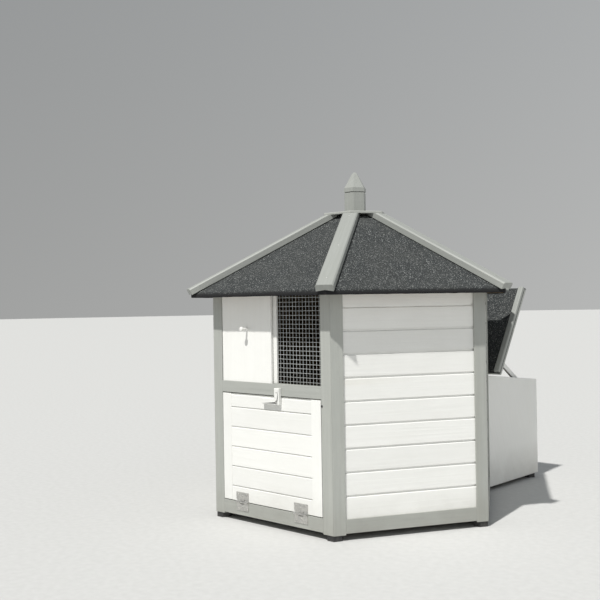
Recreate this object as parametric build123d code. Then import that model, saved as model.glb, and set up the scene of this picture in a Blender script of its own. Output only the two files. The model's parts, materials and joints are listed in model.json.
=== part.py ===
from build123d import *

import os
from math import atan2, cos, degrees, hypot, radians, sin, sqrt, tan

# A six-sided two-storey rabbit hutch with a nest-box wing behind it. Millimetres, +Z up.
# The front wall (drop door, sliding door, window) faces -Y and the wing faces +Y.
# Each wall is drawn in its own frame: x to the right as seen from outside, y inwards from
# the wall's outer face, z up from the ground. Walls follow each other anticlockwise.

# ---- tower ----
SIDE = 600.0                       # one wall, corner to corner
APOTHEM = SIDE * sqrt(3) / 2       # tower axis to a wall's outer face
HALF = SIDE / 2
MITRE = tan(radians(30))           # how fast the corner's mitre line moves along x with depth
FRAME_T = 24.0                     # thickness of stiles and rails
STILE_W = 47.0
BAY = HALF - STILE_W               # half the clear width between two stiles
GROUND_GAP = 20.0                  # height of the feet
REBATE_W = 10.0                    # rebate in a stile that takes the boards
BOARD_FACE = 6.0                   # how far the boards' faces lie behind the stiles' faces
BOARD_PITCH = 82.2
BOARD_Z0 = 74.9                    # lowest board's lower edge, also the lower floor's top
LEDGE_T = 22.0                     # inner rails, bearers and ledges
FLOOR_T = 12.0
GROOVE_H = 8.0                     # open joint between two boards
GROOVE_D = 5.0
EDGE_R = 3.0                       # rounded edge of a board

# ---- front wall ----
RAIL_Z0 = 489.0
RAIL_Z1 = 533.0
HEAD_Z0 = 858.0                    # underside of the head rail above window and sliding door
TRACK_Y0 = 2.5                     # groove that the sliding door runs in
TRACK_Y1 = 14.5
TRACK_DEPTH = 10.0
PANEL_X0 = -252.0                  # sliding door, closed
PANEL_X1 = 10.0
PANEL_T = 10.0
KNOB_X = -115.0
KNOB_Z = 732.0
KNOB_L = 35.0
KNOB_R = 8.5
KNOB_STEM_R = 4.0
KNOB_HEAD_L = 11.0
DIVIDER_X0 = -10.0
DIVIDER_X1 = 28.0
MESH_PITCH = 16.0
MESH_LAP_X0 = 11.0                 # how far the mesh runs on behind the divider, stile and rail
MESH_LAP_X1 = 12.0
MESH_LAP_Z1 = 20.0
WIRE_T = 1.6

# ---- drop door ----
DOOR_GAP = 2.5                     # round the door's edges
DOOR_Z0 = BOARD_Z0 + 3.5
DOOR_Z1 = RAIL_Z0 - 3.5
DOOR_T = 18.0
DOOR_STILE_W = 45.0
DOOR_PITCH = 75.3
DOOR_TOP_BOARD = 49.0
DOOR_LEDGE_H = 40.0                # the two ledges behind the boards
DOOR_LEDGE_LOW = 40.0
DOOR_LEDGE_HIGH = 80.0
DOOR_LEDGE_GAP = 12.0
HINGE_Y = -4.6                     # hinge axis, in front of the door's face
HINGE_Z = BOARD_Z0 + 1.7
KNUCKLE_R = 4.0
PIN_R = 2.0
PIN_FIT = 0.05                     # radial running clearance
LEAF_T = 2.0
LEAF_W = 64.0
LEAF_L = 36.0                      # from the axis to a leaf's far edge
RAIL_LEAF_L = 34.0
HINGE_XS = (-150.0, 150.0)

# ---- turn latch ----
LATCH_X = 49.0
LATCH_Z0 = 458.0
LATCH_ARM = 60.0
LATCH_FOOT = 88.0
LATCH_W = 25.0
LATCH_FOOT_H = 22.0
LATCH_T = 13.0
LATCH_GAP = 0.6

# ---- roof ----
EAVE_R = 684.0                     # circumradius of the felt's edge
EAVE_Z = 853.0                     # underside of the deck at the eave
HIP_SLOPE = 0.52                   # rise over run along a hip
DECK_V = 14.0                      # deck thickness, measured straight up
FELT_V = 3.5
FELT_LIP = 3.5
DECK_TOP_R = 95.0                  # the deck is left open under the top plate
BATTEN_R = 689.0                   # lower ends of the hip battens
BATTEN_W = 62.0
BATTEN_T = 21.0
BATTEN_V = 5.0                     # shallow V under a batten that sits over the hip
BATTEN_BEVEL = 5.0
BATTEN_TOP_R = 88.0                # upper ends, under the top plate
PLATE_R = 137.0
PLATE_Z = 1179.0
PLATE_T = 10.0
POST_R = 46.5
POST_TOP = 1272.0
CAP_R = 48.0
CAP_Z = 1276.0
CAP_BAND = 16.0
TIP_R = 14.0
TIP_Z = 1348.0
TIP_TOP = 1357.0

# ---- floors, ramp, entry and feet ----
UPPER_FLOOR_Z = 507.0
HATCH_X0 = -340.0
HATCH_X1 = -160.0
HATCH_Y0 = -60.0
HATCH_Y1 = 222.0
RAMP_X = -250.0
RAMP_W = 160.0
RAMP_FOOT_Y = -205.0
RAMP_HEAD_Y = 205.0
RAMP_T = 10.0
CLEATS = 8
CLEAT_W = 12.0
CLEAT_T = 8.0
CLEAT_INSET = 5.0                  # from the ramp's long edges
ENTRY_ROWS = 3                     # boards left out for the way into the wing
ENTRY_HALF = 100.0
TOP_RAIL_H = 44.0                 # rails under the roof, inside the walls
FOOT_R = 30.0
FOOT_INSET = 34.0                  # from the tower's corners
WING_FOOT_INSET = 31.0             # from the wing's corners

# ---- nest-box wing ----
WING_END = APOTHEM + 430.0
WING_T = 16.0
WING_FALL = 0.1086                 # fall of the side walls' top edges per unit of length
WING_TOP = 500.0                   # top edge where the side walls meet the tower
LID_AXIS_Y = APOTHEM + 22.0
LID_AXIS_Z = 496.6
LID_SHUT = -degrees(atan2(WING_FALL, 1))
LID_REST = 57.8                    # slope of the propped lid
LID_U0 = 6.0                       # lid's hinge-side edge, from the axis
LID_U1 = 436.0
LID_HALF = 350.0
LID_T = 12.0
LID_FELT = 3.0
LID_BATTEN_W = 25.0
LID_BATTEN_T = 16.0
LID_HINGE_XS = (-190.0, 190.0)
POST_W = 30.0
POST_DROP = 28.0                   # posts end below the folded stay
HINGE_RAIL_Z0 = 420.0
LEDGE_Y0 = 220.0                   # the ledge starts this far behind the tower's wall
LEDGE_END_GAP = 60.0
LEDGE_DROP = 30.0                  # stay ledge below the side wall's top edge

# ---- lid stay ----
STAY_U = 117.0
STAY_V = -12.0
CHEEK_REACH = 20.0                 # the bracket's cheek, either side of the pivot
CHEEK_DROP = 9.0
STAY_X0 = 262.0
STAY_X1 = 274.0
STAY_W = 20.0
STAY_FOOT_Y = APOTHEM + 314.0
STAY_FOOT_GAP = 1.5

WALLS = ("front", "right_front", "right_rear", "rear", "left_rear", "left_front")
CLAD = WALLS[1:]


def block(x0, x1, y0, y1, z0, z1):
    """A box given by its limits."""
    return Pos((x0 + x1) / 2, (y0 + y1) / 2, (z0 + z1) / 2) * Box(x1 - x0, y1 - y0, z1 - z0)


def prism(points, z0, z1):
    """Upright prism over a plan outline."""
    return Pos(0, 0, z0) * extrude(make_face(Polyline(*points, close=True)), z1 - z0)


def bar_x(points, x0, x1):
    """Bar along x with its section given as (y, z) points."""
    plane = Plane(origin=(x0, 0, 0), x_dir=(0, 1, 0), z_dir=(1, 0, 0))
    return extrude(plane * make_face(Polyline(*points, close=True)), x1 - x0)


def rod(start, axis, radius, length):
    """Round bar from a point along an axis."""
    return extrude(Plane(origin=start, z_dir=axis) * Circle(radius), length)


def hexagon(radius):
    return [(radius * cos(radians(60 * k)), radius * sin(radians(60 * k))) for k in range(6)]


def on_wall(index, shape):
    """Moves a shape from a wall's own frame to its place on the tower."""
    return Rot(0, 0, 60 * index) * Pos(0, -APOTHEM, 0) * shape


def mitred_bar(y0, y1, z0, z1):
    """Rail that reaches the mitre lines of both corners."""
    outer = HALF - MITRE * y0
    inner = HALF - MITRE * y1
    return prism([(-outer, y0), (outer, y0), (inner, y1), (-inner, y1)], z0, z1)


def deck_underside(distance):
    """Height of the roof deck's underside at a distance from the axis, square to a wall."""
    eave = EAVE_R * sqrt(3) / 2
    return EAVE_Z + (eave - distance) * HIP_SLOPE * 2 / sqrt(3)


WALL_TOP = deck_underside(APOTHEM)


# ------------------------------------------------------------------ tower frame
def stile(side, rebated):
    """One mitred stile; side is -1 for the left one and +1 for the right one."""
    depth = FRAME_T
    points = [(HALF, 0), (BAY, 0)]
    if rebated:
        points += [(BAY, BOARD_FACE), (BAY + REBATE_W, BOARD_FACE), (BAY + REBATE_W, depth)]
    else:
        points += [(BAY, depth)]
    points += [(HALF - MITRE * depth, depth)]
    return prism([(side * x, y) for x, y in points], GROUND_GAP, WALL_TOP)


def stiles(index):
    rebated = index > 0
    return [on_wall(index, stile(side, rebated)) for side in (-1, 1)]


def bottom_rail():
    """Rail between two stiles, with a ledge behind it that carries the lower floor."""
    ledge_top = BOARD_Z0 - FLOOR_T
    face = block(-BAY, BAY, 0, FRAME_T, GROUND_GAP + 5, BOARD_Z0)
    return face + mitred_bar(FRAME_T, FRAME_T + LEDGE_T, GROUND_GAP + 5, ledge_top)


def board(x0, x1, z0, z1, y0, y1, groove=GROOVE_H):
    """Horizontal board with a rounded upper edge and a recessed tongue above it."""
    shoulder = z1 - groove
    plane = Plane(origin=(x0, 0, 0), x_dir=(0, 1, 0), z_dir=(1, 0, 0))
    outline = [
        Line((y1, z0), (y0, z0)),
        Line((y0, z0), (y0, shoulder - EDGE_R)),
        RadiusArc((y0, shoulder - EDGE_R), (y0 + EDGE_R, shoulder), EDGE_R),
        Line((y0 + EDGE_R, shoulder), (y0 + GROOVE_D, shoulder)),
        Line((y0 + GROOVE_D, shoulder), (y0 + GROOVE_D, z1)),
        Line((y0 + GROOVE_D, z1), (y1, z1)),
        Line((y1, z1), (y1, z0)),
    ]
    return extrude(plane * make_face(outline), x1 - x0)


def wall_boards(entry_rows=0, entry_half=0.0):
    """A wall's boards, with an entry hole entry_rows boards high when that is above zero."""
    reach = BAY + REBATE_W
    boards = []
    row = 0
    low = BOARD_Z0
    while low < WALL_TOP - 1:
        high = min(low + BOARD_PITCH, WALL_TOP)
        spans = [(-reach, reach)]
        if row < entry_rows:
            spans = [(-reach, -entry_half), (entry_half, reach)]
        boards += [board(a, b, low, high, BOARD_FACE, FRAME_T) for a, b in spans]
        low = high
        row += 1
    return boards


def middle_rail():
    rail = block(-BAY, BAY, 0, FRAME_T, RAIL_Z0, RAIL_Z1)
    return rail - block(-BAY, BAY, TRACK_Y0, TRACK_Y1, RAIL_Z1 - TRACK_DEPTH, RAIL_Z1)


def head_rail():
    rail = block(-BAY, BAY, 0, FRAME_T, HEAD_Z0, WALL_TOP)
    return rail - block(-BAY, BAY, TRACK_Y0, TRACK_Y1, HEAD_Z0, HEAD_Z0 + TRACK_DEPTH + 4)


def window_mesh():
    """Welded mesh behind the divider, the stile and both rails."""
    x0 = DIVIDER_X1 - MESH_LAP_X0
    x1 = BAY + MESH_LAP_X1
    z0 = UPPER_FLOOR_Z + 3
    z1 = HEAD_Z0 + MESH_LAP_Z1
    sheet = block(x0, x1, FRAME_T, FRAME_T + WIRE_T, z0, z1)
    opening = MESH_PITCH - WIRE_T
    columns = int((x1 - x0) // MESH_PITCH)
    rows = int((z1 - z0) // MESH_PITCH)
    cutter = Box(opening, 4 * WIRE_T, opening)
    first_x = (x0 + x1) / 2 - (columns - 1) * MESH_PITCH / 2
    first_z = (z0 + z1) / 2 - (rows - 1) * MESH_PITCH / 2
    holes = [
        Pos(first_x + i * MESH_PITCH, FRAME_T + WIRE_T / 2, first_z + j * MESH_PITCH) * cutter
        for i in range(columns)
        for j in range(rows)
    ]
    return sheet - holes


# ------------------------------------------------------------------ floors, ramp, feet
def upper_floor():
    radius = (APOTHEM - FRAME_T) * 2 / sqrt(3)
    floor = prism(hexagon(radius), UPPER_FLOOR_Z - FLOOR_T, UPPER_FLOOR_Z)
    hatch = block(HATCH_X0, HATCH_X1, HATCH_Y0, HATCH_Y1, 0, 2 * UPPER_FLOOR_Z)
    return floor - hatch


def lower_floor():
    radius = (APOTHEM - FRAME_T) * 2 / sqrt(3)
    return prism(hexagon(radius), BOARD_Z0 - FLOOR_T, BOARD_Z0)


def ramp_plane():
    """Plane of the ramp's top face, with its x axis running up the ramp."""
    rise = UPPER_FLOOR_Z - FLOOR_T - BOARD_Z0
    run = RAMP_HEAD_Y - RAMP_FOOT_Y
    origin = (RAMP_X, RAMP_FOOT_Y, BOARD_Z0 + RAMP_T * hypot(rise, run) / run)
    return Plane(origin=origin, x_dir=(0, run, rise), z_dir=(0, -rise, run))


def ramp_board():
    """Sloping board, cut level where it stands on the lower floor and meets the upper one."""
    length = hypot(UPPER_FLOOR_Z, RAMP_HEAD_Y - RAMP_FOOT_Y)
    slab = ramp_plane() * (Pos(length / 2, 0, -RAMP_T / 2) * Box(2 * length, RAMP_W, RAMP_T))
    keep = block(HATCH_X0, HATCH_X1, -2 * HALF, HATCH_Y1 + FLOOR_T, BOARD_Z0, UPPER_FLOOR_Z - FLOOR_T)
    return slab & keep


def ramp_cleats():
    length = hypot(UPPER_FLOOR_Z - FLOOR_T - BOARD_Z0, RAMP_HEAD_Y - RAMP_FOOT_Y)
    step = length / (CLEATS + 1)
    cleat = Box(CLEAT_W, RAMP_W - 2 * CLEAT_INSET, CLEAT_T)
    return [ramp_plane() * (Pos(step * (k + 1), 0, CLEAT_T / 2) * cleat) for k in range(CLEATS)]


def feet():
    pad = prism(hexagon(FOOT_R), 0, GROUND_GAP)
    tower = [Pos(x, y, 0) * pad for x, y in hexagon(SIDE - FOOT_INSET)]
    wing = [Pos(side * (HALF - WING_FOOT_INSET), WING_END - WING_FOOT_INSET, 0) * pad for side in (-1, 1)]
    return tower + wing


# ------------------------------------------------------------------ roof
def hip_height(radius):
    """Top of the felt along a hip."""
    return EAVE_Z + DECK_V + FELT_V + (EAVE_R - radius) * HIP_SLOPE


def pyramid(radius, z_edge):
    """Frustum under a roof surface that passes the given radius at the given height."""
    rise = (radius - DECK_TOP_R) * HIP_SLOPE
    low = Pos(0, 0, z_edge) * make_face(Polyline(*hexagon(radius), close=True))
    high = Pos(0, 0, z_edge + rise) * make_face(Polyline(*hexagon(DECK_TOP_R), close=True))
    return loft([low, high])


def roof_skin(radius, z_bottom, thickness):
    """Six-sided skin with an upright edge, as thick as given when measured straight up."""
    outer = pyramid(radius, z_bottom + thickness)
    outer += prism(hexagon(radius), z_bottom, z_bottom + thickness)
    inner = pyramid(radius, z_bottom)
    bore = prism(hexagon(DECK_TOP_R), z_bottom, 2 * z_bottom)
    return outer - inner - bore


def sector(index):
    """Wedge over one wall."""
    corners = [(0, 0)] + [(HALF * 4 * side, -4 * APOTHEM) for side in (-1, 1)]
    return Rot(0, 0, 60 * index) * prism(corners, 0, 2 * TIP_TOP)


def roof_decks():
    skin = roof_skin(EAVE_R - FELT_LIP, EAVE_Z + FELT_LIP * HIP_SLOPE, DECK_V)
    return [skin & sector(index) for index in range(6)]


def roof_felts():
    """Felt over each deck panel, folded down over its edge."""
    skin = roof_skin(EAVE_R, EAVE_Z + DECK_V, FELT_V)
    lip = prism(hexagon(EAVE_R), EAVE_Z, EAVE_Z + DECK_V) + pyramid(EAVE_R, EAVE_Z + DECK_V)
    lip -= prism(hexagon(EAVE_R - FELT_LIP), EAVE_Z, 2 * EAVE_Z)
    felt = skin + lip
    return [felt & sector(index) for index in range(6)]


def hip_batten(index):
    """Bevelled board over the hip left of a wall, cut level under the top plate."""
    half = BATTEN_W / 2
    edge = [(half, -BATTEN_V), (half, BATTEN_T - BATTEN_BEVEL), (half - BATTEN_BEVEL, BATTEN_T)]
    points = [(0, 0)] + edge + [(-x, y) for x, y in reversed(edge)]
    foot = (BATTEN_R, 0, hip_height(BATTEN_R))
    section = Plane(origin=foot, x_dir=(0, -1, 0), z_dir=(-1, 0, HIP_SLOPE))
    batten = extrude(section * make_face(Polyline(*points, close=True)), BATTEN_R)
    keep = block(BATTEN_TOP_R, 2 * SIDE, -SIDE, SIDE, 0, PLATE_Z)
    return Rot(0, 0, 240 + 60 * index) * (batten & keep)


def roof_plate():
    plate = prism(hexagon(PLATE_R), PLATE_Z, PLATE_Z + PLATE_T)
    return chamfer(plate.faces().sort_by(Axis.Z)[-1].edges(), 2)


def finial_post():
    return prism(hexagon(POST_R), PLATE_Z + PLATE_T, POST_TOP)


def finial_cap():
    """Neck, six-sided band, steep pyramid and blunt tip."""
    def ring(radius, z):
        return Pos(0, 0, z) * make_face(Polyline(*hexagon(radius), close=True))

    neck = prism(hexagon(CAP_R - 6), POST_TOP, CAP_Z)
    band = prism(hexagon(CAP_R), CAP_Z, CAP_Z + CAP_BAND)
    spire = loft([ring(CAP_R - 2, CAP_Z + CAP_BAND), ring(TIP_R, TIP_Z)])
    tip = loft([ring(TIP_R, TIP_Z), ring(5, TIP_TOP)])
    return neck + band + spire + tip


# ------------------------------------------------------------------ hinges
def knuckles(x, y, z, spans, bore):
    """Hinge barrel segments on an axis along x; spans are offsets from the hinge's middle."""
    parts = []
    for a, b in spans:
        barrel = rod((x + a, y, z), (1, 0, 0), KNUCKLE_R, b - a)
        parts.append(barrel - rod((x + a - 1, y, z), (1, 0, 0), bore, b - a + 2))
    return parts


OUTER_SPANS = ((-LEAF_W / 2, -LEAF_W / 6 - 0.5), (LEAF_W / 6 + 0.5, LEAF_W / 2))
INNER_SPANS = ((-LEAF_W / 6, LEAF_W / 6),)


def leaf(x, y0, y1, y, z, edge, spans, bore):
    """Leaf from the hinge axis (y, z) to its far edge, cut back beside its knuckles."""
    cut_back = z + (edge - z) / 4
    body = block(x - LEAF_W / 2, x + LEAF_W / 2, y0, y1, *sorted((cut_back, edge)))
    for a, b in spans:
        body += block(x + a, x + b, y0, y1, *sorted((z, edge)))
    body -= rod((x - LEAF_W, y, z), (1, 0, 0), bore, 2 * LEAF_W)
    for barrel in knuckles(x, y, z, spans, bore):
        body += barrel
    return body


def hinge_pin(x, y, z):
    return rod((x - LEAF_W / 2 - 1, y, z), (1, 0, 0), PIN_R, LEAF_W + 2)


def door_hinges():
    """Fixed leaves on the bottom rail, moving leaves on the door, and pins."""
    y, z = HINGE_Y, HINGE_Z
    fixed = []
    moving = []
    for x in HINGE_XS:
        fixed.append(leaf(x, -LEAF_T, 0, y, z, z - RAIL_LEAF_L, OUTER_SPANS, PIN_R + PIN_FIT))
        moving.append(leaf(x, -LEAF_T, 0, y, z, z + LEAF_L, INNER_SPANS, PIN_R))
    return fixed, moving, [hinge_pin(x, y, z) for x in HINGE_XS]


# ------------------------------------------------------------------ drop door
def door_boards():
    """Boards between the door's stiles, the top one narrower."""
    reach = BAY - DOOR_GAP - DOOR_STILE_W
    rows = []
    high = DOOR_Z1
    low = DOOR_Z1 - DOOR_TOP_BOARD
    while high > DOOR_Z0 + 1:
        rows.append((max(low, DOOR_Z0), high))
        high = low
        low -= DOOR_PITCH
    return [board(-reach, reach, a, b, 1, DOOR_T - 4, 4) for a, b in rows]


def door_stiles():
    outer = BAY - DOOR_GAP
    inner = outer - DOOR_STILE_W
    return [block(a, b, 0, DOOR_T - 4, DOOR_Z0, DOOR_Z1) for a, b in ((-outer, -inner), (inner, outer))]


def door_ledges():
    """Two battens across the door's back that tie the boards together."""
    reach = BAY - DOOR_GAP - DOOR_LEDGE_GAP
    heights = (DOOR_Z0 + DOOR_LEDGE_LOW, DOOR_Z1 - DOOR_LEDGE_HIGH)
    return [block(-reach, reach, DOOR_T - 4, DOOR_T, z, z + DOOR_LEDGE_H) for z in heights]


def latch_bar():
    """L-shaped turn latch: the arm laps over the middle rail, the foot is the finger grip."""
    y1 = -LATCH_GAP
    y0 = y1 - LATCH_T
    right = LATCH_X + LATCH_W / 2
    arm = block(right - LATCH_W, right, y0, y1, LATCH_Z0, LATCH_Z0 + LATCH_ARM)
    foot = block(right - LATCH_FOOT, right, y0, y1, LATCH_Z0, LATCH_Z0 + LATCH_FOOT_H)
    bar = arm + foot
    bar = chamfer(bar.faces().sort_by(Axis.Y)[0].edges(), 1.5)
    hole = rod((LATCH_X, y0 - 1, LATCH_Z0 + LATCH_FOOT_H / 2), (0, 1, 0), 2.55, LATCH_T + 2)
    return bar - hole


def latch_screw():
    """Pivot screw in the door, its head in front of the bar."""
    z = LATCH_Z0 + LATCH_FOOT_H / 2
    front = -LATCH_GAP - LATCH_T
    shank = rod((LATCH_X, front - 0.4, z), (0, 1, 0), 2.5, LATCH_T + LATCH_GAP + 1.4)
    return shank + rod((LATCH_X, front - 2.4, z), (0, 1, 0), 5, 2)


# ------------------------------------------------------------------ sliding door
def sliding_panel():
    y0 = (TRACK_Y0 + TRACK_Y1 - PANEL_T) / 2
    panel = block(PANEL_X0, PANEL_X1, y0, y0 + PANEL_T, RAIL_Z1 - TRACK_DEPTH + 1, HEAD_Z0 + TRACK_DEPTH)
    return chamfer(panel.faces().sort_by(Axis.Y)[0].edges(), 1)


def sliding_knob():
    """Small turned knob on a thin stem with a flared base."""
    y0 = (TRACK_Y0 + TRACK_Y1 - PANEL_T) / 2
    plane = Plane(origin=(KNOB_X, y0, KNOB_Z), x_dir=(1, 0, 0), z_dir=(0, -1, 0))
    neck = KNOB_L - KNOB_HEAD_L
    base = KNOB_STEM_R + 2.5
    profile = make_face(
        [
            Line((0, 0), (base, 0)),
            Line((base, 0), (base, 3)),
            Line((base, 3), (KNOB_STEM_R, 6)),
            Line((KNOB_STEM_R, 6), (KNOB_STEM_R, neck)),
            Line((KNOB_STEM_R, neck), (KNOB_R - 1, neck + 2)),
            ThreePointArc((KNOB_R - 1, neck + 2), (KNOB_R, neck + 6), (KNOB_R - 2, neck + 10)),
            Line((KNOB_R - 2, neck + 10), (0, KNOB_L)),
            Line((0, KNOB_L), (0, 0)),
        ]
    )
    return plane.location * revolve(Plane.XZ * profile, Axis.Z)


# ------------------------------------------------------------------ nest-box wing
def wing_top(y):
    return WING_TOP - WING_FALL * (y - APOTHEM)


def slope_bar(x0, x1, y0, y1, top_drop, depth):
    """Bar under the side walls' top line."""
    points = [
        (y0, wing_top(y0) - top_drop),
        (y1, wing_top(y1) - top_drop),
        (y1, wing_top(y1) - top_drop - depth),
        (y0, wing_top(y0) - top_drop - depth),
    ]
    return bar_x(points, x0, x1)


def wing_side(side):
    points = [
        (APOTHEM, GROUND_GAP),
        (WING_END, GROUND_GAP),
        (WING_END, wing_top(WING_END)),
        (APOTHEM, wing_top(APOTHEM)),
    ]
    x0, x1 = sorted((side * HALF, side * (HALF - WING_T)))
    return bar_x(points, x0, x1)


def wing_back():
    """Boards across the wing's outer end, drawn like a wall and turned to face outwards."""
    reach = HALF - WING_T
    boards = []
    low = GROUND_GAP + 5
    while low < wing_top(WING_END) - 3:
        high = min(low + BOARD_PITCH, wing_top(WING_END) - 2)
        boards.append(Rot(0, 0, 180) * board(-reach, reach, low, high, -WING_END, -WING_END + WING_T))
        low = high
    return boards


def wing_posts():
    inner = HALF - WING_T
    y1 = WING_END - WING_T
    z1 = wing_top(WING_END) - POST_DROP
    spans = ((-inner, -inner + POST_W), (inner - POST_W, inner))
    return [block(a, b, y1 - POST_W, y1, GROUND_GAP, z1) for a, b in spans]


def wing_floor():
    inner = HALF - WING_T
    y1 = WING_END - WING_T
    floor = block(-inner, inner, APOTHEM, y1, BOARD_Z0 - FLOOR_T, BOARD_Z0)
    notches = [
        block(side * inner - POST_W, side * inner + POST_W, y1 - POST_W, y1, 0, WING_TOP)
        for side in (-1, 1)
    ]
    return floor - notches


def hinge_rail():
    """Rail on the tower's rear wall that carries the lid's hinges."""
    inner = HALF - WING_T
    return block(-inner, inner, APOTHEM, LID_AXIS_Y - LEAF_T, HINGE_RAIL_Z0, LID_AXIS_Z - 6)


def stay_ledge():
    """Ledge inside the right side wall where the stay's foot stands."""
    inner = HALF - WING_T
    return slope_bar(STAY_X0 - 4, inner, APOTHEM + LEDGE_Y0, WING_END - LEDGE_END_GAP, LEDGE_DROP, LEDGE_T)


# ------------------------------------------------------------------ wing lid
def lid_place(shape, angle=LID_REST):
    """Moves a shape from the lid's frame, y up the slope and z out of it, to the given slope."""
    return Pos(0, LID_AXIS_Y, LID_AXIS_Z) * Rot(angle, 0, 0) * shape


def lid_deck():
    return lid_place(block(-LID_HALF, LID_HALF, LID_U0, LID_U1, LEAF_T, LEAF_T + LID_T))


def lid_felt():
    """Felt over the deck, folded down over its free end."""
    z0 = LEAF_T + LID_T
    sheet = block(-LID_HALF, LID_HALF, LID_U0, LID_U1 + LID_FELT, z0, z0 + LID_FELT)
    return lid_place(sheet + block(-LID_HALF, LID_HALF, LID_U1, LID_U1 + LID_FELT, LEAF_T, z0))


def lid_battens():
    z0 = LEAF_T + LID_T + LID_FELT
    parts = []
    for side in (-1, 1):
        x0, x1 = sorted((side * LID_HALF, side * (LID_HALF - LID_BATTEN_W)))
        bar = block(x0, x1, LID_U0 + 4, LID_U1, z0, z0 + LID_BATTEN_T)
        parts.append(lid_place(chamfer(bar.faces().sort_by(Axis.Z)[-1].edges(), 3)))
    return parts


def lid_hinges():
    """Leaves on the hinge rail, leaves under the lid, and pins."""
    y, z = LID_AXIS_Y, LID_AXIS_Z
    fixed = []
    moving = []
    for x in LID_HINGE_XS:
        fixed.append(leaf(x, y - LEAF_T, y, y, z, z - LEAF_L, OUTER_SPANS, PIN_R + PIN_FIT))
        flat = leaf(x, -LEAF_T, 0, 0, 0, LEAF_L, INNER_SPANS, PIN_R)
        moving.append(lid_place(Rot(-90, 0, 0) * flat))
    return fixed, moving, [hinge_pin(x, y, z) for x in LID_HINGE_XS]


def stay_bracket():
    """Block under the lid with the stay's pivot screw."""
    block_x0 = STAY_X0 - 14
    u0, u1 = STAY_U - CHEEK_REACH, STAY_U + CHEEK_REACH
    cheek = block(block_x0, STAY_X0 - 0.5, u0, u1, STAY_V - CHEEK_DROP, LEAF_T)
    shank = rod((block_x0 + 2, STAY_U, STAY_V), (1, 0, 0), 2.5, STAY_X1 - block_x0 - 0.5)
    head = rod((STAY_X1 + 1, STAY_U, STAY_V), (1, 0, 0), 5, 2.5)
    return lid_place(cheek + shank + head)


def stay_points():
    """Centres of the stay's pivot and of its foot, in the wing's side view."""
    c, s = cos(radians(LID_REST)), sin(radians(LID_REST))
    pivot = (LID_AXIS_Y + STAY_U * c - STAY_V * s, LID_AXIS_Z + STAY_U * s + STAY_V * c)
    foot_z = wing_top(STAY_FOOT_Y) - LEDGE_DROP + STAY_W / 2 + STAY_FOOT_GAP
    return pivot, (STAY_FOOT_Y, foot_z)


def lid_stay():
    """Flat wooden prop with round ends, drilled for the pivot screw."""
    (y0, z0), (y1, z1) = stay_points()
    length = hypot(y1 - y0, z1 - z0)
    plane = Plane(origin=(STAY_X0, y0, z0), x_dir=(0, y1 - y0, z1 - z0), z_dir=(1, 0, 0))
    thick = STAY_X1 - STAY_X0
    half = STAY_W / 2
    bar = Pos(length / 2, 0, thick / 2) * Box(length, STAY_W, thick)
    ends = [Pos(u, 0, thick / 2) * Cylinder(half, thick) for u in (0, length)]
    shape = bar + ends - Pos(0, 0, thick / 2) * Cylinder(2.55, 2 * thick)
    return plane * shape


# ------------------------------------------------------------------ assembly
def front(shape):
    """Places one or more shapes drawn in the front wall's frame."""
    if isinstance(shape, (list, tuple)):
        return [on_wall(0, item) for item in shape]
    return on_wall(0, shape)


def tower_nodes():
    nodes = {}
    for index, name in enumerate(WALLS):
        nodes[f"{name}_stiles"] = stiles(index)
    nodes["bottom_rails"] = [on_wall(index, bottom_rail()) for index in range(6)]
    rail = mitred_bar(FRAME_T, FRAME_T + LEDGE_T, WALL_TOP - TOP_RAIL_H, WALL_TOP)
    nodes["top_rails"] = [on_wall(index, rail) for index in range(1, 6)]
    bearer_top = UPPER_FLOOR_Z - FLOOR_T
    bearer = mitred_bar(FRAME_T, FRAME_T + LEDGE_T, bearer_top - LEDGE_T, bearer_top)
    nodes["floor_bearers"] = [on_wall(index, bearer) for index in range(6)]
    for index, name in enumerate(WALLS):
        if name == "rear":
            nodes["rear_boards"] = [on_wall(index, item) for item in wall_boards(ENTRY_ROWS, ENTRY_HALF)]
        elif name in CLAD:
            nodes[f"{name}_boards"] = [on_wall(index, item) for item in wall_boards()]
    nodes["middle_rail"] = front(middle_rail())
    nodes["head_rail"] = front(head_rail())
    nodes["window_divider"] = front(block(DIVIDER_X0, DIVIDER_X1, TRACK_Y1 + 1, FRAME_T, RAIL_Z1, HEAD_Z0))
    nodes["window_mesh"] = front(window_mesh())
    nodes["upper_floor"] = upper_floor()
    nodes["lower_floor"] = lower_floor()
    nodes["ramp_board"] = ramp_board()
    nodes["ramp_cleats"] = ramp_cleats()
    nodes["feet"] = feet()
    return nodes


def roof_nodes():
    nodes = {}
    nodes["roof_decks"] = roof_decks()
    nodes["roof_felt"] = roof_felts()
    for index in range(6):
        nodes[f"hip_batten_{index + 1}"] = hip_batten(index)
    nodes["roof_plate"] = roof_plate()
    nodes["finial_post"] = finial_post()
    nodes["finial_cap"] = finial_cap()
    return nodes


def door_nodes():
    fixed, moving, pins = door_hinges()
    return {
        "door_hinge_fixed_leaves": front(fixed),
        "door_boards": front(door_boards()),
        "door_stiles": front(door_stiles()),
        "door_ledges": front(door_ledges()),
        "door_hinge_moving_leaves": front(moving),
        "door_hinge_pins": front(pins),
        "latch_bar": front(latch_bar()),
        "latch_screw": front(latch_screw()),
        "sliding_panel": front(sliding_panel()),
        "sliding_knob": front(sliding_knob()),
    }


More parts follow.
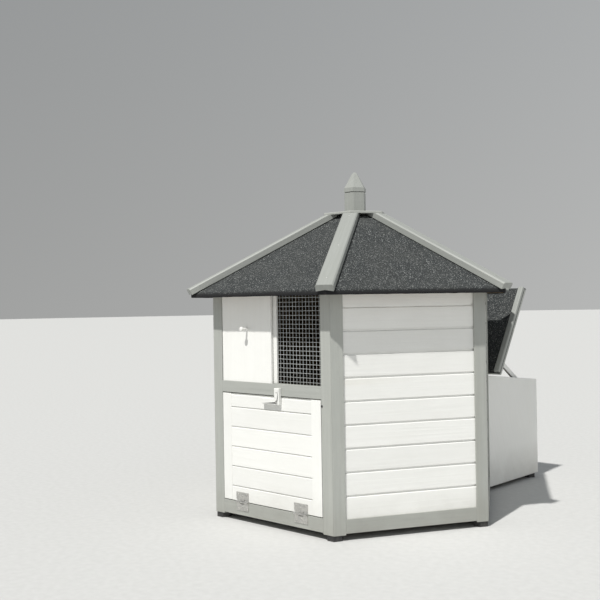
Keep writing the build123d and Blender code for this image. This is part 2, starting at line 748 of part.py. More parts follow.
def wing_nodes():
    fixed, moving, pins = lid_hinges()
    return {
        "wing_side_left": wing_side(-1),
        "wing_side_right": wing_side(1),
        "wing_back_boards": wing_back(),
        "wing_posts": wing_posts(),
        "wing_floor": wing_floor(),
        "hinge_rail": hinge_rail(),
        "stay_ledge": stay_ledge(),
        "lid_hinge_fixed_leaves": fixed,
        "lid_deck": lid_deck(),
        "lid_felt": lid_felt(),
        "lid_battens": lid_battens(),
        "lid_hinge_moving_leaves": moving,
        "lid_hinge_pins": pins,
        "stay_bracket": stay_bracket(),
        "lid_stay": lid_stay(),
    }


def solids_of(shape):
    """Flat list of the solids in a shape or a list of shapes."""
    items = shape if isinstance(shape, (list, tuple)) else [shape]
    return [solid for item in items for solid in item.solids()]


def main():
    nodes = {**tower_nodes(), **roof_nodes(), **door_nodes(), **wing_nodes()}
    groups = {name: Compound(children=solids_of(shape)) for name, shape in nodes.items()}
    boxes = [group.bounding_box() for group in groups.values()]
    y_mid = (min(b.min.Y for b in boxes) + max(b.max.Y for b in boxes)) / 2
    os.makedirs("parts", exist_ok=True)
    for name, group in groups.items():
        export_step(Pos(0, -y_mid, 0) * group, f"parts/{name}.step")
    pivot, foot = stay_points()
    print("nodes", len(nodes))
    print("shift in y", -y_mid)
    print("door hinge axis (y, z)", -APOTHEM + HINGE_Y - y_mid, HINGE_Z)
    print("latch pivot (x, z)", LATCH_X, LATCH_Z0 + LATCH_FOOT_H / 2)
    print("lid axis (y, z)", LID_AXIS_Y - y_mid, LID_AXIS_Z, "shut", LID_SHUT)
    print("stay pivot and foot (y, z)", (pivot[0] - y_mid, pivot[1]), (foot[0] - y_mid, foot[1]))


main()
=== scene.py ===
import json
from math import cos, pi, radians, sin, tan

import bmesh
import bpy
import numpy as np
from mathutils import Matrix, Vector, noise


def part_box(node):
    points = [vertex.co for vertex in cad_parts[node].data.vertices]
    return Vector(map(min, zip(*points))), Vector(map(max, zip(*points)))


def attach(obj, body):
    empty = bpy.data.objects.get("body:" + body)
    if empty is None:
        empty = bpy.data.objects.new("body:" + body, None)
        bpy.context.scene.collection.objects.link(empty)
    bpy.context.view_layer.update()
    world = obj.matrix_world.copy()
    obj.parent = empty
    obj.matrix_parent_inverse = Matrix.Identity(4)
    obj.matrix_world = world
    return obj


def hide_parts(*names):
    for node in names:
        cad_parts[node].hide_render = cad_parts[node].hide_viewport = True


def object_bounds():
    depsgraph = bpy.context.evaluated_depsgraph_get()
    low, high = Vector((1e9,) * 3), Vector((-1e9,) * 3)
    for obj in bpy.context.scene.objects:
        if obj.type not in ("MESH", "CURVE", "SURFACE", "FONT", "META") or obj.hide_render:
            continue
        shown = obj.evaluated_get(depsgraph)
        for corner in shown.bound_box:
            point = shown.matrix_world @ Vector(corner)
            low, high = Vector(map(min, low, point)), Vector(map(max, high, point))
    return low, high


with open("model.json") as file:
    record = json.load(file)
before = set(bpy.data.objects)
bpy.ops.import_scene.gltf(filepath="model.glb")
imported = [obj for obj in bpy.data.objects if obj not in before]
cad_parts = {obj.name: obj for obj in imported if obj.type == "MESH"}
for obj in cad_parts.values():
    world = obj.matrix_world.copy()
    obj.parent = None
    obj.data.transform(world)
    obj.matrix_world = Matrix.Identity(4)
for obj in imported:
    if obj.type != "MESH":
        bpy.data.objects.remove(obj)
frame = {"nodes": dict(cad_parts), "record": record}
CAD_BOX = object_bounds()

# Six-sided rabbit hutch with a nest-box wing. Metres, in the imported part's frame: the front
# wall faces -Y and the wing +Y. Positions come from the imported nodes' boxes.

NODES = frame["nodes"]
POST_LO, POST_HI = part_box("finial_post")
AXIS = Vector(((POST_LO.x + POST_HI.x) / 2, (POST_LO.y + POST_HI.y) / 2, 0))   # the tower's axis
FLOOR_Z = CAD_BOX[0][2]

# ---- sizes of the part that its boxes do not give ----
HIP_SLOPE = 0.52                 # rise over run along a hip
WALL_SLOPE = HIP_SLOPE / cos(radians(30))
FELT_T = 0.0035
EAVE_T = 0.0175                  # deck and felt, measured straight up
DECK_TOP_R = 0.095               # the deck is open under the top plate
LID_SLOPE = radians(57.8)
LID_FELT_T = 0.003
LID_FELT_TOP = 0.017             # weather face, out from the hinge axis
LID_NEAR = 0.006                 # the lid's two ends, from the hinge axis
LID_FAR = 0.436
LEAF_HALF = 0.032                # hinge leaves: half width, reach and thickness
LEAF_L = 0.036
LEAF_T = 0.002
BATTEN_T = 0.021
MESH_PITCH = 0.016
WIRE_R = 0.0008

# ---- looks ----
BEVEL_W = 0.0012
BEVEL_ANGLE = radians(35)
SEED = 11
HINGE_SCREW = (0.0036, 0.0012)   # radius and dome of a screw head
BATTEN_SCREW = (0.0030, 0.0005)
ARM_SCREW = (0.0028, 0.0009)
STUD = (0.0042, 0.0026)


class Shader:
    """A procedural material under construction."""

    def __init__(self, name):
        self.material = bpy.data.materials.new(name)
        self.material.use_nodes = True
        self.tree = self.material.node_tree
        self.bsdf = self.tree.nodes["Principled BSDF"]
        self.object_point = self.node("TexCoord").outputs["Object"]

    def put(self, socket, value):
        if isinstance(value, bpy.types.NodeSocket):
            self.tree.links.new(value, socket)
        else:
            socket.default_value = value

    def node(self, kind, inputs=None, **settings):
        made = self.tree.nodes.new("ShaderNode" + kind)
        for key, value in settings.items():
            setattr(made, key, value)
        for key, value in (inputs or {}).items():
            self.put(made.inputs[key], value)
        return made

    def attribute(self, name):
        return self.node("Attribute", attribute_name=name)

    def math(self, operation, a, b):
        return self.node("Math", {0: a, 1: b}, operation=operation).outputs[0]

    def vector(self, operation, a, b=None, scale=None):
        inputs = {0: a}
        if b is not None:
            inputs[1] = b
        if scale is not None:
            inputs["Scale"] = scale
        made = self.node("VectorMath", inputs, operation=operation)
        return made.outputs["Value" if operation == "DOT_PRODUCT" else "Vector"]

    def noise(self, point, scale, detail=3.0, roughness=0.5, distortion=0.0):
        inputs = {
            "Vector": point,
            "Scale": scale,
            "Detail": detail,
            "Roughness": roughness,
            "Distortion": distortion,
        }
        return self.node("TexNoise", inputs).outputs["Fac"]

    def cells(self, point, scale):
        return self.node("TexVoronoi", {"Vector": point, "Scale": scale}, feature="F1")

    def span(self, value, low, high, to_low=0.0, to_high=1.0):
        """Maps low..high to to_low..to_high, held at the ends."""
        inputs = {
            "Value": value,
            "From Min": low,
            "From Max": high,
            "To Min": to_low,
            "To Max": to_high,
        }
        return self.node("MapRange", inputs).outputs["Result"]

    def mix(self, factor, a, b, blend="MIX"):
        made = self.node("Mix", data_type="RGBA", blend_type=blend)
        self.put(made.inputs[0], factor)
        for socket, value in ((6, a), (7, b)):
            if isinstance(value, tuple):
                value = (*value, 1.0)
            self.put(made.inputs[socket], value)
        return made.outputs[2]

    def bump(self, height, distance, strength=1.0, normal=None):
        inputs = {"Height": height, "Distance": distance, "Strength": strength}
        if normal is not None:
            inputs["Normal"] = normal
        return self.node("Bump", inputs).outputs["Normal"]

    def finish(self, color, roughness, normal, **fixed):
        self.put(self.bsdf.inputs["Base Color"], color)
        self.put(self.bsdf.inputs["Roughness"], roughness)
        self.put(self.bsdf.inputs["Normal"], normal)
        for name, value in fixed.items():
            self.bsdf.inputs[name.replace("_", " ")].default_value = value
        return self.material

    def grain_point(self, squeeze):
        """Object point shortened along each piece's own grain and shifted piece by piece."""
        grain = self.attribute("grain").outputs["Vector"]
        tone = self.attribute("tone").outputs["Fac"]
        reach = self.vector("DOT_PRODUCT", self.object_point, grain)
        along = self.vector("SCALE", grain, scale=reach)
        across = self.vector("SUBTRACT", self.object_point, along)
        short = self.vector("SCALE", along, scale=squeeze)
        shift = self.node("CombineXYZ", {0: tone, 1: tone, 2: tone}).outputs[0]
        moved = self.vector("ADD", across, self.vector("SCALE", shift, scale=3.7))
        return self.vector("ADD", moved, short)


def pine(shader, point, light, dark, knot):
    """Colour and height of planed pine: growth rings, fine pores and scattered knots."""
    rings = shader.noise(point, 26.0, detail=2.0, distortion=0.6)
    bands = shader.math("PINGPONG", shader.math("MULTIPLY", rings, 9.0), 1.0)
    late = shader.math("POWER", bands, 2.2)
    pores = shader.noise(point, 420.0, detail=2.0)
    cells = shader.cells(point, 5.5)
    spot = shader.span(cells.outputs["Distance"], 0.05, 0.13, 1.0, 0.0)
    color = shader.mix(late, light, dark)
    color = shader.mix(shader.math("MULTIPLY", spot, 0.75), color, knot)
    height = shader.math("ADD", late, shader.math("MULTIPLY", pores, 0.35))
    return color, height, spot


def painted_wood(name, base, worn, shade, stain):
    """Brushed paint over pine: the grain stands in it, knots bleed through, low edges are dirty."""
    s = Shader(name)
    point = s.grain_point(0.045)
    # These pine colours are about two thirds of bare_pine's: painted shade for the unpainted inner
    # faces, since the hutch's inside lies in shade.
    wood, height, spot = pine(s, point, (0.17, 0.115, 0.066), (0.11, 0.066, 0.033),
                              (0.06, 0.03, 0.014))
    tone = s.attribute("tone").outputs["Fac"]
    cloud = s.noise(s.object_point, 4.5, detail=4.0, roughness=0.6)
    streak = s.noise(point, 95.0, detail=5.0, roughness=0.62)
    fleck = s.noise(s.object_point, 260.0, detail=2.0)
    color = s.mix(s.span(streak, 0.35, 0.72), base, shade)
    color = s.mix(s.span(cloud, 0.38, 0.68, 0.0, 0.55), color, worn)
    color = s.mix(s.math("MULTIPLY", spot, 0.28), color, stain)
    color = s.mix(s.span(fleck, 0.70, 0.78, 0.0, 0.35), color, stain)
    height_z = s.node("SeparateXYZ", {0: s.object_point}).outputs["Z"]
    splash = s.math("MULTIPLY", s.span(height_z, 0.02, 0.17, 1.0, 0.0), s.span(cloud, 0.3, 0.7))
    color = s.mix(s.math("MULTIPLY", splash, 0.35), color, (0.16, 0.14, 0.10))
    lift = s.span(tone, 0.0, 1.0, 0.955, 1.03)
    gain = s.node("CombineXYZ", {0: lift, 1: lift, 2: lift}).outputs[0]
    color = s.mix(1.0, color, gain, blend="MULTIPLY")
    # Unpainted inner faces take the darkened pine: real bare wood, with painted shade in its
    # colour.
    bare = s.attribute("bare").outputs["Fac"]
    color = s.mix(bare, color, wood)
    rough = s.span(s.math("ADD", s.math("MULTIPLY", streak, 0.7), s.math("MULTIPLY", cloud, 0.3)),
                   0.3, 0.7, 0.46, 0.66)
    relief = s.math("ADD", s.math("MULTIPLY", height, 0.45), streak)
    normal = s.bump(relief, 0.0009, strength=0.38)
    normal = s.bump(cloud, 0.004, strength=0.35, normal=normal)
    return s.finish(color, rough, normal)


def bare_pine(name):
    """Unpainted pine, a little greyed and handled."""
    s = Shader(name)
    point = s.grain_point(0.05)
    wood, height, spot = pine(s, point, (0.26, 0.18, 0.105), (0.18, 0.11, 0.055),
                              (0.09, 0.045, 0.02))
    cloud = s.noise(s.object_point, 6.0, detail=4.0)
    color = s.mix(s.span(cloud, 0.35, 0.7, 0.0, 0.45), wood, (0.18, 0.15, 0.115))
    rough = s.span(height, 0.0, 1.3, 0.74, 0.62)
    return s.finish(color, rough, s.bump(height, 0.0009, strength=0.7))


def mineral_felt(name):
    """Slate-grey roofing felt: crushed mineral grit with scattered pale grains on bitumen."""
    s = Shader(name)
    fine = s.cells(s.object_point, 820.0)
    coarse = s.cells(s.object_point, 450.0)
    pick = s.node("SeparateColor", {0: fine.outputs["Color"]}).outputs[0]
    rare = s.node("SeparateColor", {0: coarse.outputs["Color"]}).outputs[1]
    cloud = s.noise(s.object_point, 7.0, detail=4.0, roughness=0.6)
    scuff = s.noise(s.object_point, 48.0, detail=4.0)
    color = s.mix(s.span(pick, 0.25, 0.95), (0.013, 0.015, 0.016), (0.054, 0.059, 0.060))
    color = s.mix(s.span(pick, 0.90, 0.93), color, (0.145, 0.155, 0.150))
    color = s.mix(s.span(rare, 0.925, 0.945), color, (0.31, 0.32, 0.31))
    color = s.mix(s.span(scuff, 0.42, 0.72, 0.0, 0.30), color, (0.024, 0.026, 0.027))
    color = s.mix(s.span(cloud, 0.40, 0.70, 0.0, 0.30), color, (0.066, 0.068, 0.063))
    # Painted shade: the felt darkens where it folds over an eave or the lid's end, most at the
    # fold's lower edge.
    edge = s.attribute("edge").outputs["Fac"]
    color = s.mix(edge, color, (0.014, 0.014, 0.015))
    grit = s.math("ADD", s.math("MULTIPLY", fine.outputs["Distance"], 0.6),
                  s.math("MULTIPLY", s.noise(s.object_point, 240.0, detail=3.0), 0.8))
    normal = s.bump(grit, 0.0016, strength=0.85)
    normal = s.bump(scuff, 0.0030, strength=0.35, normal=normal)
    rough = s.span(pick, 0.0, 1.0, 0.80, 0.97)
    return s.finish(color, rough, normal, Specular_IOR_Level=0.32)


def metal(name, base, dull, rust, metallic, rough_low, rough_high):
    """Zinc-coated steel: mottled coating, handling marks and a few rusty specks."""
    s = Shader(name)
    flakes = s.cells(s.object_point, 210.0)
    spangle = s.node("SeparateColor", {0: flakes.outputs["Color"]}).outputs[0]
    film = s.noise(s.object_point, 60.0, detail=5.0, roughness=0.65)
    speck = s.noise(s.object_point, 330.0, detail=2.0)
    color = s.mix(s.span(spangle, 0.0, 1.0, 0.0, 0.55), base, dull)
    color = s.mix(s.span(film, 0.5, 0.75, 0.0, 0.6), color, dull)
    color = s.mix(s.span(speck, 0.68, 0.74, 0.0, 0.8), color, rust)
    rough = s.span(film, 0.3, 0.7, rough_low, rough_high)
    normal = s.bump(s.math("ADD", film, s.math("MULTIPLY", speck, 0.4)), 0.0005, strength=0.5)
    return s.finish(color, rough, normal, Metallic=metallic)


def moulded_plastic(name):
    """Black moulded foot with a fine spark-eroded texture and dust on it."""
    s = Shader(name)
    texture = s.noise(s.object_point, 900.0, detail=2.0)
    dust = s.noise(s.object_point, 70.0, detail=5.0, roughness=0.7)
    color = s.mix(s.span(dust, 0.45, 0.75, 0.0, 0.5), (0.020, 0.020, 0.021), (0.12, 0.11, 0.10))
    rough = s.span(dust, 0.3, 0.7, 0.42, 0.72)
    return s.finish(color, rough, s.bump(texture, 0.0005, strength=0.6))


MATERIALS = {
    "grey_paint": painted_wood("grey_paint", (0.385, 0.395, 0.368), (0.350, 0.360, 0.340),
                               (0.340, 0.350, 0.325), (0.300, 0.295, 0.255)),
    # A darker copy of the grey paint for the roof pieces: painted shade that offsets the stronger
    # sun on their upward faces.
    "roof_paint": painted_wood("roof_paint", (0.315, 0.325, 0.305), (0.285, 0.295, 0.280),
                               (0.275, 0.285, 0.265), (0.240, 0.236, 0.205)),
    "white_paint": painted_wood("white_paint", (0.800, 0.800, 0.775), (0.745, 0.745, 0.715),
                                (0.775, 0.774, 0.746), (0.640, 0.600, 0.500)),
    "bare_wood": bare_pine("bare_pine"),
    "mineral_felt": mineral_felt("mineral_felt"),
    "galvanised_wire": metal("galvanised_wire", (0.66, 0.68, 0.67), (0.46, 0.48, 0.47),
                             (0.34, 0.29, 0.22), 0.55, 0.38, 0.62),
    "hinge_steel": metal("hinge_steel", (0.64, 0.63, 0.60), (0.40, 0.40, 0.39),
                         (0.22, 0.12, 0.06), 0.95, 0.26, 0.52),
    "foot_plastic": moulded_plastic("foot_plastic"),
}


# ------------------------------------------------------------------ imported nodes
def solid_labels(mesh):
    """For each polygon, a label shared by the polygons of the same solid."""
    co = np.empty(len(mesh.vertices) * 3, np.float32)
    mesh.vertices.foreach_get("co", co)
    spots = {}
    places = np.round(co.reshape(-1, 3) * 1e5).astype(int).tolist()
    ids = [spots.setdefault(tuple(place), len(spots)) for place in places]
    by_edge = {}
    for poly in mesh.polygons:
        ring = [ids[v] for v in poly.vertices]
        for a, b in zip(ring, ring[1:] + ring[:1]):
            by_edge.setdefault((min(a, b), max(a, b)), []).append(poly.index)
    parent = list(range(len(mesh.polygons)))

    def root(i):
        while parent[i] != i:
            parent[i] = parent[parent[i]]
            i = parent[i]
        return i

    for polys in by_edge.values():
        if len(polys) == 2:
            parent[root(polys[0])] = root(polys[1])
    return [root(i) for i in range(len(parent))]


def long_axis(points):
    """Direction in which a solid is longest."""
    spread = points - points.mean(0)
    return np.linalg.svd(spread, full_matrices=False)[2][0]


def add_grain(mesh, draw, bare):
    """Stores each solid's grain direction and tone on its faces, and which faces are unpainted."""
    labels = solid_labels(mesh)
    members = {}
    for poly in mesh.polygons:
        members.setdefault(labels[poly.index], []).append(poly)
    grain = np.zeros((len(mesh.polygons), 3), np.float32)
    tone = np.zeros(len(mesh.polygons), np.float32)
    for polys in members.values():
        corners = sorted({v for poly in polys for v in poly.vertices})
        points = np.array([mesh.vertices[v].co for v in corners])
        axis, value = long_axis(points), draw.random()
        for poly in polys:
            grain[poly.index] = axis
            tone[poly.index] = value
    for name, kind, values in (
        ("grain", "FLOAT_VECTOR", grain),
        ("tone", "FLOAT", tone),
        ("bare", "FLOAT", np.array([bare(poly) for poly in mesh.polygons], np.float32)),
    ):
        layer = mesh.attributes.new(name, kind, "FACE")
        layer.data.foreach_set("vector" if kind == "FLOAT_VECTOR" else "value", values.ravel())


def faces_tower_inside(poly):
    outward = (poly.center - AXIS) * Vector((1, 1, 0))
    return 1.0 if poly.normal.dot(outward.normalized()) < -0.5 else 0.0


def faces_wing_inside(poly):
    return 1.0 if poly.normal.x * poly.center.x < -0.2 or poly.normal.y < -0.5 else 0.0


def painted(poly):
    return 0.0


BARE_TEST = {"wing_side_left": faces_wing_inside, "wing_side_right": faces_wing_inside,
             "wing_back_boards": faces_wing_inside, "door_boards": faces_tower_inside,
             "sliding_panel": faces_tower_inside}
ROOF_NODES = ("hip_batten", "lid_battens", "top_plate", "finial")
ROUND_NODES = ("door_hinge", "lid_hinge", "latch_screw", "sliding_knob", "stay_bracket",
               "lid_stay", "feet")


def ease_edges(node):
    """Rounds the sharp edges of a flat-sided piece a little."""
    node.data.shade_flat()
    weld = node.modifiers.new("weld", "WELD")
    weld.merge_threshold = 0.00001
    bevel = node.modifiers.new("eased_edges", "BEVEL")
    bevel.width = BEVEL_W
    bevel.segments = 2
    bevel.limit_method = "ANGLE"
    bevel.angle_limit = BEVEL_ANGLE
    bevel.use_clamp_overlap = True


def dress_nodes():
    slots = {}
    for entry in frame["record"]["materials"]:
        slots[entry["slot"]] = MATERIALS[entry["slot"]]
    draw = np.random.RandomState(SEED)
    for name in sorted(NODES):
        node = NODES[name]
        slot = slot_of(name)
        node.data.materials.clear()
        # Roof pieces take the darker copy of the grey paint: painted shade against the sun on their
        # upward faces.
        takes_roof_painted_shade = slot == "grey_paint" and name.startswith(ROOF_NODES)
        node.data.materials.append(MATERIALS["roof_paint"] if takes_roof_painted_shade else slots[slot])
        test = BARE_TEST.get(name, faces_tower_inside if name.endswith("_boards") else painted)
        add_grain(node.data, draw, test)
        if not name.startswith(ROUND_NODES):
            ease_edges(node)


def slot_of(name):
    """The record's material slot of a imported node."""
    found = NODES[name].data.materials
    label = found[0].name.split(".")[0] if found and found[0] else ""
    return label if label in MATERIALS else "grey_paint"


# ------------------------------------------------------------------ pieces in mesh code
def add_piece(name, bm, body, slot, replaced=()):
    """Finishes a mesh as a piece that rides on a body."""
    bmesh.ops.recalc_face_normals(bm, faces=bm.faces)
    mesh = bpy.data.meshes.new(name)
    bm.to_mesh(mesh)
    bm.free()
    mesh.polygons.foreach_set("use_smooth", [True] * len(mesh.polygons))
    mesh.materials.append(MATERIALS[slot])
    piece = bpy.data.objects.new(name, mesh)
    bpy.context.scene.collection.objects.link(piece)
    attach(piece, body)
    if replaced:
        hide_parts(*replaced)


def tube(bm, points, radius, sides=8):
    """Round bar with capped ends along points that run nearly straight."""
    along = (points[-1] - points[0]).normalized()
    side = along.orthogonal().normalized()
    other = along.cross(side)
    rings = []
    for point in points:
        ring = []
        for k in range(sides):
            angle = 2 * pi * k / sides
            ring.append(bm.verts.new(point + (side * cos(angle) + other * sin(angle)) * radius))
        rings.append(ring)
    for low, high in zip(rings, rings[1:]):
        for k in range(sides):
            bm.faces.new((low[k], low[(k + 1) % sides], high[(k + 1) % sides], high[k]))
    bm.faces.new(reversed(rings[0]))
    bm.faces.new(rings[-1])


def window_wires():
    """Welded mesh: upright wires in front, level wires fused to their backs."""
    pitch, radius, step, wave = MESH_PITCH, WIRE_R, 0.008, 0.00035
    lo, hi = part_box("window_mesh")
    mid = (lo + hi) / 2
    columns = int((hi.x - lo.x) / pitch)
    rows = int((hi.z - lo.z) / pitch)
    bm = bmesh.new()
    steps = int((hi.z - lo.z) / step)
    for i in range(columns + 1):
        x = mid.x + (i - columns / 2) * pitch
        path = []
        for k in range(steps + 1):
            z = lo.z + (hi.z - lo.z) * k / steps
            sway = wave * noise.noise(Vector((i * 3.1, z * 12, 0)))
            path.append(Vector((x + sway, lo.y + radius, z)))
        tube(bm, path, radius)
    steps = int((hi.x - lo.x) / step)
    for j in range(rows + 1):
        z = mid.z + (j - rows / 2) * pitch
        path = []
        for k in range(steps + 1):
            x = lo.x + (hi.x - lo.x) * k / steps
            sway = wave * noise.noise(Vector((x * 12, j * 2.7, 5)))
            path.append(Vector((x, lo.y + radius * 2.6, z + sway)))
        tube(bm, path, radius)
    add_piece("window_wires", bm, "hutch", "galvanised_wire", replaced=["window_mesh"])


def sheet_mesh(name, body, slot, rows, columns, place, replaced=()):
    """Closed sheet: place(row, column share, is_outer) gives a point and how much painted shade it
    takes.
    """
    bm = bmesh.new()
    edge = bm.verts.layers.float.new("edge")
    layers = []
    for outer in (True, False):
        grid = []
        for row in rows:
            line = []
            for c in range(columns + 1):
                point, share = place(row, c / columns, outer)
                vert = bm.verts.new(point)
                vert[edge] = share
                line.append(vert)
            grid.append(line)
        layers.append(grid)
    for grid in layers:
        for low, high in zip(grid, grid[1:]):
            for c in range(columns):
                bm.faces.new((low[c], low[c + 1], high[c + 1], high[c]))
    front, back = layers
    for c in range(columns):
        for r in (0, -1):
            bm.faces.new((front[r][c], front[r][c + 1], back[r][c + 1], back[r][c]))
    for r in range(len(rows) - 1):
        for c in (0, -1):
            bm.faces.new((front[r][c], front[r + 1][c], back[r + 1][c], back[r][c]))
    add_piece(name, bm, body, slot, replaced=replaced)


def fade(distance, reach):
    """0 at an edge, rising smoothly to 1 at the given reach from it."""
    share = min(max(distance / reach, 0.0), 1.0)
    return share * share * (3 - 2 * share)


# Section of the felt folded over an eave, from its lower edge up: out from the edge and up
# from the deck's underside, for the weather face and for the face on the deck, and how much
# painted shade darkens the fold there, most at its lower edge.
FOLD = (
    (0.0000, -0.0006, -0.0030, -0.0004, 1.0),
    (0.0011, 0.0012, -0.0030, 0.0012, 1.0),
    (0.0013, 0.0050, -0.0030, 0.0050, 1.0),
    (0.0012, 0.0095, -0.0030, 0.0095, 0.9),
    (0.0008, 0.0130, -0.0030, 0.0120, 0.7),
    (-0.0004, 0.0162, -0.0030, 0.0150, 0.4),
    (-0.0026, 0.0187, -0.0031, 0.0159, 0.1),
)


def roof_felt_panel(index):
    """One wall's felt, slightly uneven, from under the top plate to its folded lower edge."""
    lo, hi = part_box("roof_felt")
    eave = (hi.x - AXIS.x) * cos(radians(30))
    top = DECK_TOP_R * cos(radians(30))
    angle = radians(60 * index - 90)
    out = Vector((cos(angle), sin(angle), 0))
    side = Vector((-sin(angle), cos(angle), 0))
    count = 62
    rows = [("fold", k) for k in range(len(FOLD))]
    rows += [("slope", eave - 0.006 + (top - eave + 0.006) * (k / count)) for k in range(count + 1)]

    def place(row, share, outer):
        kind, value = row
        if kind == "fold":
            weather_out, weather_up, deck_out, deck_up, dark = FOLD[value]
            apothem = eave + (weather_out if outer else deck_out)
            height = lo.z + (weather_up if outer else deck_up)
        else:
            apothem = value
            height = lo.z + EAVE_T + (eave - apothem) * WALL_SLOPE - (0.0 if outer else FELT_T)
            dark = 0.0
        across = (2 * share - 1) * apothem * tan(radians(30))
        point = AXIS + out * apothem + side * across + Vector((0, 0, height))
        if outer:
            room = fade(apothem * tan(radians(30)) - abs(across), 0.06)
            slow = noise.noise(point * 8 + Vector((index, 0, 0)))
            quick = noise.noise(point * 42)
            lift = (0.0011 * slow + 0.00045 * quick) * room
            if kind == "fold":
                sag = 0.0009 * quick * room if value < 2 else 0
                point += out * lift * 0.8 - Vector((0, 0, sag))
            else:
                point += (out * WALL_SLOPE + Vector((0, 0, 1))).normalized() * lift
        return point, dark

    sheet_mesh(f"roof_felt_panel_{index + 1}", "hutch", "mineral_felt", rows, 70, place,
               replaced=["roof_felt"])


def lid_frame():
    """Origin on the lid's hinge axis, and the directions up the lid and out of it."""
    lo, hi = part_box("lid_hinge_pins")
    origin = Vector((0, (lo.y + hi.y) / 2, (lo.z + hi.z) / 2))
    up = Vector((0, cos(LID_SLOPE), sin(LID_SLOPE)))
    return origin, up, Vector((0, -up.z, up.y))


def lid_felt_sheet():
    """Felt on the lid, folded over its free end."""
    origin, up, out = lid_frame()
    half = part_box("lid_felt")[1].x
    near, far, face = LID_NEAR, LID_FAR, LID_FELT_TOP
    # The last number of each fold row is painted shade on the fold.
    fold = ((far + 0.0022, 0.0020, far, 0.0020, 1.0), (far + 0.0030, 0.0045, far, 0.0045, 1.0),
            (far + 0.0032, 0.0100, far, 0.0090, 0.9), (far + 0.0028, 0.0145, far, 0.0130, 0.6),
            (far + 0.0010, 0.0165, far - 0.0002, 0.0139, 0.2))
    count = 54
    rows = list(fold)
    for k in range(count + 1):
        reach = far - 0.002 + (near - far + 0.002) * k / count
        rows.append((reach, face, reach, face - LID_FELT_T, 0.0))

    def place(row, share, outer):
        weather_u, weather_v, deck_u, deck_v, dark = row
        x = (2 * share - 1) * half
        u, v = (weather_u, weather_v) if outer else (deck_u, deck_v)
        point = origin + up * u + out * v + Vector((x, 0, 0))
        if outer:
            room = fade(half - abs(x) - 0.030, 0.05)
            lift = 0.0012 * noise.noise(point * 9) + 0.0004 * noise.noise(point * 45)
            point += out * lift * room
        return point, dark

    sheet_mesh("lid_felt_sheet", "wing_lid", "mineral_felt", rows, 72, place, replaced=["lid_felt"])


def screw_head(bm, centre, normal, radius, dome, turn=0.0, sides=16):
    """Domed head with a cross recess."""
    side = normal.orthogonal().normalized()
    other = normal.cross(side)
    profile = ((1.0, -0.25), (1.0, 0.25), (0.90, 0.62), (0.66, 0.95), (0.50, 1.0), (0.14, 1.0))
    rings = []
    for level, (share, height) in enumerate(profile):
        ring = []
        for k in range(sides):
            angle = 2 * pi * k / sides + turn
            drop = 0.9 if level >= 4 and k % (sides // 4) == 0 else 0.0
            spot = (side * cos(angle) + other * sin(angle)) * radius * share
            ring.append(bm.verts.new(centre + spot + normal * dome * (height - drop)))
        rings.append(ring)
    for low, high in zip(rings, rings[1:]):
        for k in range(sides):
            bm.faces.new((low[k], low[(k + 1) % sides], high[(k + 1) % sides], high[k]))
    tip = bm.verts.new(centre + normal * dome * 0.1)
    for k in range(sides):
        bm.faces.new((rings[-1][k], rings[-1][(k + 1) % sides], tip))
    bm.faces.new(reversed(rings[0]))


def screws(name, body, slot, spots, radius, dome):
    """One piece with a screw head at each (point, direction)."""
    bm = bmesh.new()
    for k, (point, normal) in enumerate(spots):
        screw_head(bm, point, normal, radius, dome, turn=1.3 * k)
    add_piece(name, bm, body, slot)


HINGE_HEADS = ((-0.023, 0.008), (0.0, 0.014), (0.023, 0.008))   # across the leaf, in from its edge


def hinge_screws():
    lo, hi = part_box("door_hinge_fixed_leaves")
    front = hi.y - LEAF_T
    moving_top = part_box("door_hinge_moving_leaves")[1].z
    centres = (lo.x + LEAF_HALF, hi.x - LEAF_HALF)
    forward = Vector((0, -1, 0))
    fixed = [(Vector((x + dx, front, lo.z + dz)), forward)
             for x in centres for dx, dz in HINGE_HEADS]
    moving = [(Vector((x + dx, front, moving_top - dz)), forward)
              for x in centres for dx, dz in HINGE_HEADS]
    screws("door_hinge_fixed_screws", "hutch", "hinge_steel", fixed, *HINGE_SCREW)
    screws("door_hinge_moving_screws", "drop_door", "hinge_steel", moving, *HINGE_SCREW)
    lo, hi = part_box("lid_hinge_fixed_leaves")
    origin, up, out = lid_frame()
    centres = (lo.x + LEAF_HALF, hi.x - LEAF_HALF)
    fixed = [(Vector((x + dx, origin.y, lo.z + dz)), Vector((0, 1, 0)))
             for x in centres for dx, dz in HINGE_HEADS]
    moving = [(origin + Vector((x + dx, 0, 0)) + up * (LEAF_L - dz), -out)
              for x in centres for dx, dz in HINGE_HEADS]
    screws("lid_hinge_fixed_screws", "hutch", "hinge_steel", fixed, *HINGE_SCREW)
    screws("lid_hinge_moving_screws", "wing_lid", "hinge_steel", moving, *HINGE_SCREW)


def batten_screws():
    """Screw heads along the hip battens."""
    eave_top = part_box("roof_felt")[0].z + EAVE_T
    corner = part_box("roof_felt")[1].x - AXIS.x
    spots = []
    for k in range(6):
        out = Vector((cos(radians(60 * k)), sin(radians(60 * k)), 0))
        normal = (out * HIP_SLOPE + Vector((0, 0, 1))).normalized()
        for reach in (0.15, 0.40, 0.64):
            hip = AXIS + out * reach + Vector((0, 0, eave_top + (corner - reach) * HIP_SLOPE))
            spots.append((hip + normal * BATTEN_T, normal))
    screws("hip_batten_screws", "hutch", "hinge_steel", spots, *BATTEN_SCREW)


def small_fixings():
    """The screw in the latch's arm, and the dark stud beside the drop door's top corner."""
    lo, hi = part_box("latch_bar")
    arm_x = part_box("latch_screw")[0].x + 0.005
    screws("latch_arm_screw", "turn_latch", "hinge_steel",
           [(Vector((arm_x, lo.y, hi.z - 0.015)), Vector((0, -1, 0)))], *ARM_SCREW)
    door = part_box("door_stiles")[1]
    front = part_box("front_stiles")[0].y
    screws("door_stud", "hutch", "foot_plastic",
           [(Vector((door.x + 0.006, front, door.z - 0.020)), Vector((0, -1, 0)))], *STUD)


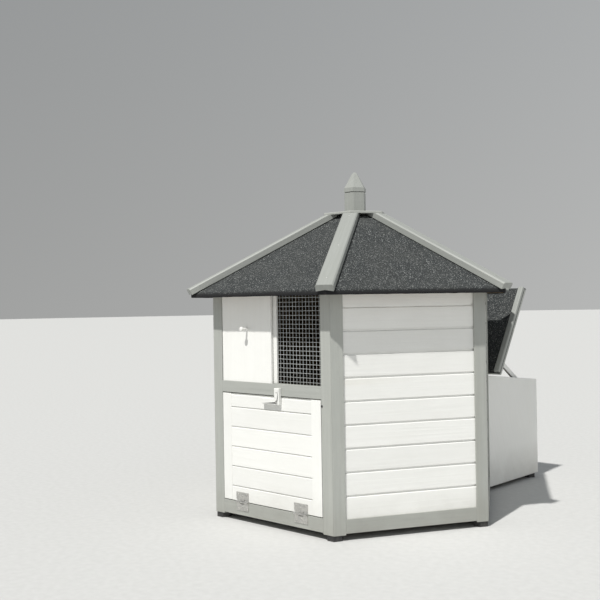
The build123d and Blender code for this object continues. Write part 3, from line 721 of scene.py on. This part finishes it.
# ------------------------------------------------------------------ studio
def studio():
    scene = bpy.context.scene
    scene.view_settings.view_transform = "Standard"

    bm = bmesh.new()
    bmesh.ops.create_circle(bm, cap_ends=True, segments=96, radius=60.0)
    mesh = bpy.data.meshes.new("studio_floor")
    bm.to_mesh(mesh)
    bm.free()
    ground = bpy.data.objects.new("studio_floor", mesh)
    scene.collection.objects.link(ground)
    ground.location.z = FLOOR_Z
    s = Shader("studio_floor")
    grain = s.noise(s.object_point, 40.0, detail=4.0)
    color = s.mix(s.span(grain, 0.3, 0.7), (0.50, 0.50, 0.49), (0.54, 0.54, 0.53))
    mesh.materials.append(s.finish(color, 0.8, s.bump(grain, 0.001, strength=0.2)))

    world = bpy.data.worlds.new("studio_world")
    scene.world = world
    world.use_nodes = True
    tree = world.node_tree
    point = tree.nodes.new("ShaderNodeTexCoord")
    split = tree.nodes.new("ShaderNodeSeparateXYZ")
    ramp = tree.nodes.new("ShaderNodeValToRGB")
    tree.links.new(point.outputs["Generated"], split.inputs[0])
    tree.links.new(split.outputs["Z"], ramp.inputs[0])
    ramp.color_ramp.elements[0].position = 0.0
    ramp.color_ramp.elements[0].color = (0.92, 0.93, 0.92, 1)
    ramp.color_ramp.elements[1].position = 0.9
    ramp.color_ramp.elements[1].color = (0.52, 0.56, 0.60, 1)
    back = tree.nodes["Background"]
    tree.links.new(ramp.outputs[0], back.inputs["Color"])
    across = tree.nodes.new("ShaderNodeMapRange")      # a brighter sky on the wing's side
    across.inputs["From Min"].default_value = -1.0
    across.inputs["To Min"].default_value = 0.36
    across.inputs["To Max"].default_value = 0.84
    tree.links.new(split.outputs["X"], across.inputs["Value"])
    tree.links.new(across.outputs["Result"], back.inputs["Strength"])

    lamp = bpy.data.lights.new("key_sun", "SUN")
    lamp.energy = 4.05
    lamp.angle = radians(1.5)
    lamp.color = (1.0, 0.985, 0.955)
    key = bpy.data.objects.new("key_sun", lamp)
    scene.collection.objects.link(key)
    azimuth, height = radians(-80), radians(59.5)
    toward = Vector((cos(azimuth) * cos(height), sin(azimuth) * cos(height), sin(height)))
    key.rotation_euler = toward.to_track_quat("Z", "Y").to_euler()


def camera():
    """Camera at eye level off the front right corner, tilted up and rolled very slightly."""
    azimuth, reach, height = radians(-51.086), 3.647, 0.829
    yaw, pitch, roll = radians(3.661), radians(0.143), radians(-0.940)
    lens = bpy.data.cameras.new("camera")
    lens.sensor_width = 36.0
    lens.lens = 53.20
    view = bpy.data.objects.new("camera", lens)
    bpy.context.scene.collection.objects.link(view)
    place = AXIS + Vector((reach * cos(azimuth), reach * sin(azimuth), height))
    heading = azimuth + pi + yaw
    ahead = Vector((cos(heading) * cos(pitch), sin(heading) * cos(pitch), sin(pitch)))
    right = Vector((sin(heading), -cos(heading), 0))
    above = right.cross(ahead)
    x_axis = right * cos(roll) + above * sin(roll)
    y_axis = above * cos(roll) - right * sin(roll)
    turn = Matrix((x_axis, y_axis, -ahead)).transposed()
    view.matrix_world = Matrix.Translation(place) @ turn.to_4x4()
    bpy.context.scene.camera = view


def main():
    dress_nodes()
    window_wires()
    for index in range(6):
        roof_felt_panel(index)
    lid_felt_sheet()
    hinge_screws()
    batten_screws()
    small_fixings()
    studio()
    camera()


main()
